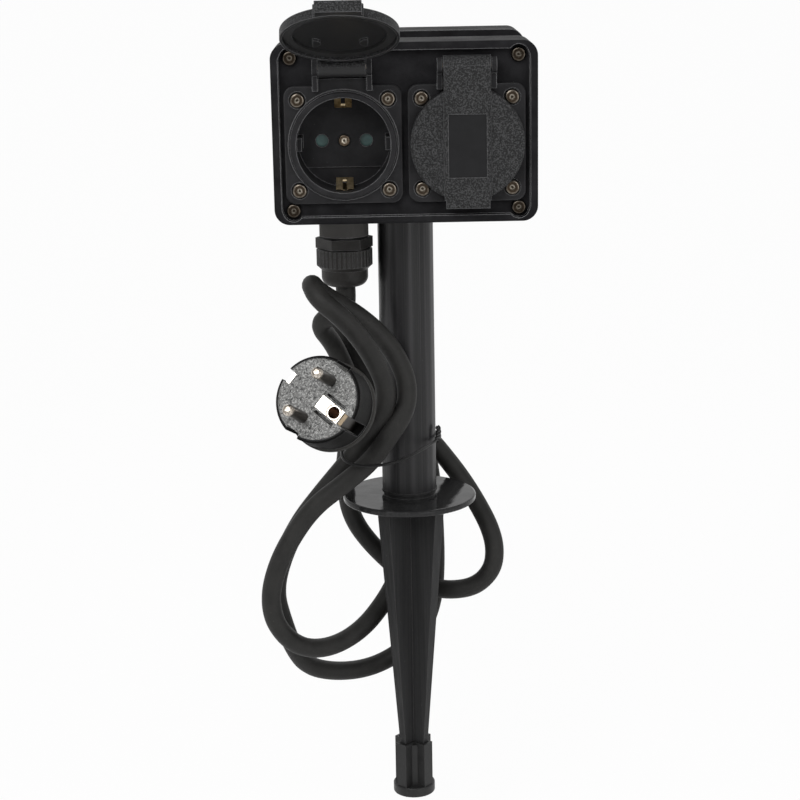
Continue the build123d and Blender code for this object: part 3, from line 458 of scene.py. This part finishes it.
def spike_moulded():
    """Spike: polished disc and collar, satin blades with faint lengthwise lines."""
    surface = Surface("spike_plastic", 0.3, specular=0.13)
    surface.rounded(0.0003)
    lines = surface.noise(1.0, 3.0, 0.6, surface.stretched((800.0, 800.0, 4.0)))
    color = surface.overlay((0.0195, 0.0195, 0.0198), (0.0340, 0.0340, 0.0345), lines, 0.3, 0.7)
    # Painted highlight on the spike's sharp edges
    color = surface.overlay(color, (0.12, 0.12, 0.12), surface.highlit_edge_mask(0.0005), 0.0, 1.0, 0.5)
    color = surface.overlay(color, (0.14, 0.14, 0.14), surface.noise(650.0, 2.0, 0.7), 0.72, 0.78, 0.5)
    height = surface.add("ShaderNodeSeparateXYZ")
    surface.link(surface.place, height, "Vector")
    surface.bump(lines, 0.00003)
    surface.bump(surface.noise(60.0, 2.0), 0.0005, 0.7)
    return surface.finish(
        color, surface.spread(height.outputs["Z"], blade_top - blade_blur, blade_top + blade_blur, 0.42, 0.1)
    )


def rubber_sheath(name, dark, light, rough, specular=0.2):
    """Matt rubber: soft mottling, fine pits and a chalky bloom."""
    surface = Surface(name, rough, specular=specular)
    mottle = surface.noise(110.0, 5.0)
    color = surface.overlay(dark, light, mottle, 0.3, 0.7)
    color = surface.overlay(color, (0.07, 0.068, 0.062), surface.noise(600.0, 4.0, 0.7), 0.6, 0.8, 0.35)
    surface.bump(surface.noise(2200.0, 2.0), 0.00008)
    surface.bump(surface.noise(160.0, 3.0), 0.00035, 0.5)
    return surface.finish(color, surface.spread(mottle, 0.3, 0.7, rough - 0.06, rough + 0.08))


def metal(name, dark, light, rough, tarnish):
    """Plated metal: fine variation in tone and tarnish in patches."""
    surface = Surface(name, rough, metallic=1.0)
    surface.rounded(0.00015)
    grain = surface.noise(300.0, 4.0, 0.6)
    color = surface.overlay(dark, light, grain, 0.3, 0.7)
    patches = surface.spread(surface.noise(450.0, 4.0, 0.65), 0.58, 0.75, 0.0, 0.6)
    color = surface.blend(patches, color, tarnish)
    surface.bump(grain, 0.00003)
    return surface.finish(color, surface.spread(patches, 0.0, 0.6, rough, rough + 0.25))


def earth_metal():
    """The plug's bright earth plate with painted shade in its hole and a painted highlight on its edge, and
    the clip beside it darkened with painted shade.
    """
    surface = Surface("earth_plate_metal", 0.3, metallic=1.0)
    surface.rounded(0.00015)
    grain = surface.noise(700.0, 4.0, 0.6)
    color = surface.overlay((0.74, 0.70, 0.64), (0.92, 0.89, 0.84), grain, 0.3, 0.7)
    color = surface.overlay(color, (0.55, 0.45, 0.34), surface.noise(500.0, 4.0, 0.65), 0.6, 0.75, 0.6)
    # The clip darkened with painted shade, deepest on its back part where it runs into its channel
    clip_front = surface.beyond(plug_way, plug_clip_front)
    clip_color = surface.blend(clip_front, (0.022, 0.018, 0.014), (0.13, 0.103, 0.071))
    color = surface.blend(surface.beyond(plug_clip_way, plug_clip_start), color, clip_color)
    # Rings round the earth hole: a dark ring, a painted highlight on the hole's edge, painted shade inside
    # the hole
    reach = surface.off_axis(earth_hole, plug_way)
    for rim, tone in ((1.38, (0.16, 0.13, 0.10)), (1.2, (0.8, 0.77, 0.7)), (1.02, (0.21, 0.14, 0.095))):
        edge = earth_hole_radius * rim
        color = surface.blend(surface.spread(reach, edge, edge + 0.0001, 1.0, 0.0), color, tone)
    surface.bump(grain, 0.00003)
    return surface.finish(color)


def pin_plating():
    """The plug's pins: painted highlights on the rounded tips, painted shade on the shanks."""
    surface = Surface("plug_pin_metal", 0.28, metallic=1.0)
    brushed = surface.noise(1.0, 4.0, 0.6, surface.stretched((900.0, 300.0, 700.0)))
    # Shanks darkened with painted shade; tips lightened with a painted highlight and glints
    shank = surface.overlay((0.020, 0.016, 0.012), (0.078, 0.064, 0.052), brushed, 0.3, 0.7)
    glint = surface.noise(1400.0, 2.0)
    bright = surface.overlay((0.30, 0.26, 0.22), (0.70, 0.65, 0.58), glint, 0.42, 0.62)
    color = surface.blend(surface.beyond(plug_way, pin_tip_start, 0.0009), shank, bright)
    surface.bump(brushed, 0.00003)
    return surface.finish(color)


def screw_head(name, across, up, bright=1.0):
    """Screw heads in painted light and shade: highlit rim, shaded ring, highlit band round a shaded centre;
    across and up fold space onto one head, and bright sets the level of this painted light.
    """
    surface = Surface(name, 0.3, metallic=1.0)
    surface.rounded(0.0003)
    parts = surface.add("ShaderNodeSeparateXYZ")
    surface.link(surface.place, parts, "Vector")
    plane = surface.add("ShaderNodeCombineXYZ")
    surface.link(surface.folded(parts.outputs["X"], across), plane, "X")
    surface.link(surface.folded(parts.outputs["Z"], up), plane, "Y")
    reach = surface.add("ShaderNodeVectorMath", operation="LENGTH")
    surface.link(plane.outputs["Vector"], reach, 0)
    ring = surface.add("ShaderNodeMath", operation="MULTIPLY_ADD")
    surface.link(surface.noise(900.0, 2.0), ring, 0)
    ring.inputs[1].default_value = ring_wobble
    surface.link(reach.outputs["Value"], ring, 2)
    ramp = surface.add("ShaderNodeValToRGB")
    surface.link(surface.spread(ring.outputs[0], ring_inner, ring_outer, 0.0, 1.0), ramp, "Fac")
    # Painted light and shade from the centre out: shaded socket, highlight, shaded ring, highlight on the
    # rim
    stops = (
        (0.0, (0.030, 0.024, 0.016)),
        (0.15, (0.040, 0.032, 0.022)),
        (0.23, (0.46, 0.42, 0.36)),
        (0.35, (0.22, 0.19, 0.15)),
        (0.44, (0.040, 0.029, 0.020)),
        (0.66, (0.055, 0.041, 0.029)),
        (0.78, (0.20, 0.175, 0.145)),
        (0.88, (0.15, 0.13, 0.11)),
        (0.95, (0.035, 0.028, 0.022)),
    )
    for spare in range(len(stops) - 2):
        ramp.color_ramp.elements.new(0.5)
    for element, (spot, color) in zip(ramp.color_ramp.elements, stops):
        element.position = spot
        element.color = (*(min(1.0, part * bright) for part in color), 1.0)
    stain = surface.noise(1300.0, 4.0, 0.65)
    return surface.finish(
        surface.overlay(ramp.outputs["Color"], (0.045, 0.034, 0.024), stain, 0.45, 0.65, 0.65)
    )


def speckled_face():
    """The plug's grey face: moulded resin with light and dark specks."""
    surface = Surface("plug_face_plastic", 0.42, specular=0.4)
    surface.rounded(0.0003)
    mottle = surface.noise(160.0, 5.0)
    color = surface.blend(mottle, (0.10, 0.10, 0.097), (0.17, 0.17, 0.165))
    color = surface.overlay(color, (0.42, 0.42, 0.41), surface.noise(1250.0, 2.0, 0.7), 0.52, 0.58, 0.75)
    color = surface.overlay(color, (0.012, 0.012, 0.012), surface.noise(900.0, 3.0, 0.7), 0.46, 0.39, 0.95)
    # Painted highlight on the face's sharp edges
    color = surface.overlay(color, (0.4, 0.4, 0.39), surface.highlit_edge_mask(0.0004), 0.0, 1.0, 0.5)
    surface.bump(surface.noise(1200.0, 3.0), 0.0002)
    return surface.finish(color, surface.spread(mottle, 0.3, 0.7, 0.34, 0.5))


def insulation(name, dark, light, stripe=None):
    """A conductor's glossy insulation, with a second colour in a stripe where it has one."""
    surface = Surface(name, 0.32)
    mottle = surface.noise(200.0, 3.0)
    color = surface.blend(mottle, dark, light)
    if stripe:
        color = surface.overlay(color, stripe, surface.noise(140.0, 0.0), 0.49, 0.51)
    surface.bump(surface.noise(900.0, 2.0), 0.00004)
    return surface.finish(color, surface.spread(mottle, 0.3, 0.7, 0.28, 0.4))


def build_materials():
    """A material for each of the record's slots but pin_metal, whose two pieces have their own variants."""
    black = ((0.0112, 0.0110, 0.0118), (0.0200, 0.0197, 0.0210))
    deep = ((0.0142, 0.0140, 0.0148), (0.0236, 0.0233, 0.0246))
    dull = ((0.012, 0.012, 0.012), (0.02, 0.02, 0.02))
    teal = ((0.022, 0.060, 0.058), (0.062, 0.134, 0.124))
    gland = ((0.0225, 0.0214, 0.0204), (0.040, 0.038, 0.0362))
    sheath = ((0.0150, 0.0147, 0.0140), (0.0255, 0.0248, 0.0236))
    sleeve = ((0.0030, 0.0029, 0.0028), (0.0075, 0.0073, 0.0070))
    cap = ((0.010, 0.010, 0.010), (0.019, 0.019, 0.019))
    tie = ((0.008, 0.008, 0.008), (0.015, 0.015, 0.015))
    brass = ((0.26, 0.195, 0.105), (0.74, 0.61, 0.40))
    steel = ((0.30, 0.24, 0.18), (0.58, 0.50, 0.40))
    wire = ((0.40, 0.40, 0.40), (0.6, 0.6, 0.6))
    brown = ((0.10, 0.035, 0.012), (0.16, 0.06, 0.02))
    blue = ((0.01, 0.05, 0.28), (0.02, 0.09, 0.4))
    green = ((0.03, 0.22, 0.03), (0.05, 0.3, 0.05))
    yellow = (0.65, 0.55, 0.03)
    # The housing below the box is painted lighter: painted light on the boss, which sits in shade
    boss_painted_lighter = ((0, 0, -1), -box_underside, (0.088, 0.085, 0.082))
    plug_ring = (tuple(-part for part in plug_way), -plug_ring_start, (0.038, 0.037, 0.035))
    return {
        "housing_plastic": moulded(
            "housing_plastic", *black, rough=0.42, grain=2600.0, depth=0.00008, specular=0.006, rim=0.9,
            edge_highlight_tone=0.3, second=boss_painted_lighter,
        ),
        "insert_plastic": moulded(
            "insert_plastic", *deep, rough=0.38, grain=2200.0, depth=0.00006, specular=0.07, rim=1.0
        ),
        "base_plastic": moulded("base_plastic", *dull, rough=0.45, grain=1800.0, depth=0.00005),
        "shutter_plastic": moulded(
            "shutter_plastic", *teal, rough=0.35, grain=2000.0, depth=0.00004, specular=0.5, edge=0.0002
        ),
        "gland_plastic": moulded("gland_plastic", *gland, rough=0.42, grain=1500.0, depth=0.00008),
        "plug_rubber": moulded(
            "plug_rubber", *sleeve, rough=0.5, grain=1500.0, depth=0.0001, specular=0.03, rim=0.5, dust=0.3,
            second=plug_ring,
        ),
        "tie_plastic": moulded("tie_plastic", *tie, rough=0.4, grain=3000.0, depth=0.00003),
        "lid_plastic": spark_textured("lid_plastic", (0, 1, 0)),
        "pole_plastic": extruded(),
        "spike_plastic": spike_moulded(),
        "plug_face_plastic": speckled_face(),
        "seal_rubber": rubber_sheath("seal_rubber", *dull, rough=0.6),
        "cap_rubber": rubber_sheath("cap_rubber", *cap, rough=0.42, specular=0.3),
        "cord_rubber": rubber_sheath("cord_rubber", *sheath, rough=0.55),
        "contact_brass": metal("contact_brass", *brass, rough=0.28, tarnish=(0.045, 0.034, 0.022)),
        "screw_steel": metal("screw_steel", *steel, rough=0.32, tarnish=(0.10, 0.07, 0.045)),
        "spring_steel": metal("spring_steel", *wire, rough=0.3, tarnish=(0.12, 0.08, 0.05)),
        "live_insulation": insulation("live_insulation", *brown),
        "neutral_insulation": insulation("neutral_insulation", *blue),
        "earth_insulation": insulation("earth_insulation", *green, stripe=yellow),
    }


def build_variants():
    """Materials of single pieces whose pattern follows their own place."""
    opened = math.radians(lid_open_degrees)
    # One screw steel at three levels of painted light: cover screws painted darker, centre screws painted
    # brighter
    cover_screws = screw_head("cover_screw_steel", (0.0, cover_screw_x), (cover_mid_z, cover_screw_z), 0.45)
    plate_screws = screw_head("plate_screw_steel", (0.0, socket_x, plate_screw), (socket_z, plate_screw))
    center_screws = screw_head("center_screw_steel", (0.0, socket_x), (socket_z,), 2.2)
    rear_lid = spark_textured("rear_lid_plastic", (0, -1, 0))
    open_lid = spark_textured("open_lid_plastic", (0, math.cos(opened), -math.sin(opened)))
    return {
        "front_cover_screws": cover_screws,
        "rear_cover_screws": cover_screws,
        "front_socket_screws": plate_screws,
        "rear_socket_screws": plate_screws,
        "center_screws": center_screws,
        "plug_earth_contact": earth_metal(),
        "plug_pins": pin_plating(),
        "rear_left_lid": rear_lid,
        "rear_right_lid": rear_lid,
        "front_left_lid": open_lid,
    }


def dress_nodes(materials, variants):
    """Give every CAD node the material of its slot in the record, or its own variant of it."""
    for entry in frame["record"]["subparts"]:
        name = entry["node"]
        piece = nodes[name]
        piece.data.materials.clear()
        piece.data.materials.append(variants.get(name) or materials[entry["material_slot"]])


# Added pieces


def lid_window(socket, material):
    """The smooth field that fills the sunk window of a lid's strap."""
    half = window_width / 2
    low = window_mid - window_height / 2
    high = window_mid + window_height / 2
    back = -window_floor - window_gap
    front = back - window_thickness
    shape = bmesh.new()
    corners = [shape.verts.new((x, y, z)) for x in (-half, half) for y in (front, back) for z in (low, high)]
    bmesh.ops.convex_hull(shape, input=corners)
    bmesh.ops.recalc_face_normals(shape, faces=shape.faces)
    data = bpy.data.meshes.new(socket + "_lid_window")
    if socket == "front_left":
        pivot = Vector((0, -hinge_out, hinge_rise))
        turn = Matrix.Rotation(math.radians(-lid_open_degrees), 4, "X")
        shape.transform(Matrix.Translation(pivot) @ turn @ Matrix.Translation(-pivot))
    side = -1 if socket.endswith("left") else 1
    rear = socket.startswith("rear")
    placing = Matrix.Translation((side * socket_x, panel_face if rear else -panel_face, socket_z))
    if rear:
        placing = placing @ Matrix.Rotation(math.pi, 4, "Z")
    shape.transform(placing)
    shape.to_mesh(data)
    shape.free()
    data.materials.append(material)
    piece = bpy.data.objects.new(socket + "_lid_window", data)
    bpy.context.scene.collection.objects.link(piece)
    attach(piece, socket + "_lid")


def smooth_curve(data, points):
    """One smooth spline on the given control points."""
    spline = data.splines.new("NURBS")
    spline.points.add(len(points) - 1)
    for point, place in zip(spline.points, points):
        point.co = (*place, 1.0)
    spline.order_u = 3
    spline.use_endpoint_u = True


def rod(name, radius, roundness, smoothness, routes, material):
    """A round rod along each of the routes, as one object on the stand."""
    data = bpy.data.curves.new(name, "CURVE")
    data.dimensions = "3D"
    data.bevel_depth = radius
    data.bevel_resolution = roundness
    data.resolution_u = smoothness
    for points in routes:
        smooth_curve(data, points)
    data.materials.append(material)
    piece = bpy.data.objects.new(name, data)
    bpy.context.scene.collection.objects.link(piece)
    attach(piece, "stand")
    return piece


def twisted_end(strand):
    """Route of one of the two strands that wind round each other along the twist's line."""
    low, middle, high = (Vector(point) for point in tie_twist)
    points = []
    for step in range(twist_steps + 1):
        share = step / twist_steps
        axis = low.lerp(middle, share).lerp(middle.lerp(high, share), share)
        angle = 2 * math.pi * twist_turns * share + math.pi * strand
        points.append(axis + Vector((math.cos(angle), math.sin(angle), 0)) * twist_reach)
    return points


def make_tie(materials):
    """The tie: a rod round the pole and the cord, its ends twisted together beside the pole."""
    routes = (tie_points, twisted_end(0), twisted_end(1))
    piece = rod("tie_wire", tie_radius, 3, 6, routes, materials["tie_plastic"])
    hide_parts("cable_tie")


def make_cord(materials):
    """The free cord: one smooth curve on the route's points."""
    piece = rod("cord_sheath", cord_radius, 6, 8, (cord_points,), materials["cord_rubber"])
    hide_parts("cord")


def area_lamp(name, place, aim, width, height, watts):
    """A rectangular lamp at a place, facing its aim."""
    data = bpy.data.lights.new(name, "AREA")
    data.shape = "RECTANGLE"
    data.size = width
    data.size_y = height
    data.energy = watts
    lamp = bpy.data.objects.new(name, data)
    lamp.location = place
    lamp.rotation_mode = "QUATERNION"
    lamp.rotation_quaternion = (Vector(aim) - Vector(place)).to_track_quat("-Z", "Y")
    bpy.context.scene.collection.objects.link(lamp)


def seen_by(tree):
    """1 for rays that should see the white backdrop: camera, glossy and transmission rays."""
    path = tree.nodes.new("ShaderNodeLightPath")
    total = None
    for name in ("Is Camera Ray", "Is Glossy Ray", "Is Transmission Ray"):
        if total is None:
            total = path.outputs[name]
            continue
        either = tree.nodes.new("ShaderNodeMath")
        either.operation = "MAXIMUM"
        tree.links.new(total, either.inputs[0])
        tree.links.new(path.outputs[name], either.inputs[1])
        total = either.outputs[0]
    return total


def backdrop_material():
    """Pale paper that keeps a soft shadow but shows as white."""
    material = bpy.data.materials.new("backdrop_paper")
    material.use_nodes = True
    tree = material.node_tree
    tree.nodes.clear()
    paper = tree.nodes.new("ShaderNodeBsdfDiffuse")
    paper.inputs["Color"].default_value = paper_tone
    glow = tree.nodes.new("ShaderNodeEmission")
    glow.inputs["Strength"].default_value = backdrop_white
    mix = tree.nodes.new("ShaderNodeMixShader")
    share = tree.nodes.new("ShaderNodeMath")
    share.operation = "MULTIPLY"
    share.inputs[1].default_value = backdrop_glow_share
    tree.links.new(seen_by(tree), share.inputs[0])
    tree.links.new(share.outputs[0], mix.inputs[0])
    tree.links.new(paper.outputs[0], mix.inputs[1])
    tree.links.new(glow.outputs[0], mix.inputs[2])
    out = tree.nodes.new("ShaderNodeOutputMaterial")
    tree.links.new(mix.outputs[0], out.inputs["Surface"])
    return material


def make_stage():
    """Floor that curves up into a back wall."""
    profile = [(-floor_reach, 0.0)]
    for step in range(wall_bend_steps + 1):
        angle = math.pi / 2 * step / wall_bend_steps
        out = wall_back - wall_bend + wall_bend * math.sin(angle)
        profile.append((out, wall_bend - wall_bend * math.cos(angle)))
    profile.append((wall_back, wall_height))
    shape = bmesh.new()
    rows = [[shape.verts.new((x, y, floor_z + z)) for x in (-floor_reach, floor_reach)] for y, z in profile]
    for low, high in zip(rows, rows[1:]):
        shape.faces.new((low[0], low[1], high[1], high[0]))
    data = bpy.data.meshes.new("backdrop")
    shape.to_mesh(data)
    shape.free()
    for face in data.polygons:
        face.use_smooth = True
    data.materials.append(backdrop_material())
    piece = bpy.data.objects.new("backdrop", data)
    bpy.context.scene.collection.objects.link(piece)


def make_world():
    """Even sky light; beyond the floor's edge the camera sees the backdrop's pale tone."""
    world = bpy.data.worlds.new("studio")
    world.use_nodes = True
    tree = world.node_tree
    sky = tree.nodes["Background"]
    sky.inputs["Color"].default_value = (1, 1, 1, 1)
    sky.inputs["Strength"].default_value = world_level
    shown = tree.nodes.new("ShaderNodeBackground")
    shown.inputs["Color"].default_value = sky_seen_tone
    shown.inputs["Strength"].default_value = backdrop_white
    path = tree.nodes.new("ShaderNodeLightPath")
    mix = tree.nodes.new("ShaderNodeMixShader")
    tree.links.new(path.outputs["Is Camera Ray"], mix.inputs[0])
    tree.links.new(sky.outputs[0], mix.inputs[1])
    tree.links.new(shown.outputs[0], mix.inputs[2])
    tree.links.new(mix.outputs[0], tree.nodes["World Output"].inputs["Surface"])
    bpy.context.scene.world = world


setup_camera()
materials = build_materials()
dress_nodes(materials, build_variants())
make_cord(materials)
make_tie(materials)
window_material = window_smooth()
for socket in sockets:
    lid_window(socket, window_material)
make_stage()
make_world()
for name, settings in lamps.items():
    area_lamp(name, *settings)
bpy.context.scene.view_settings.view_transform = "Standard"
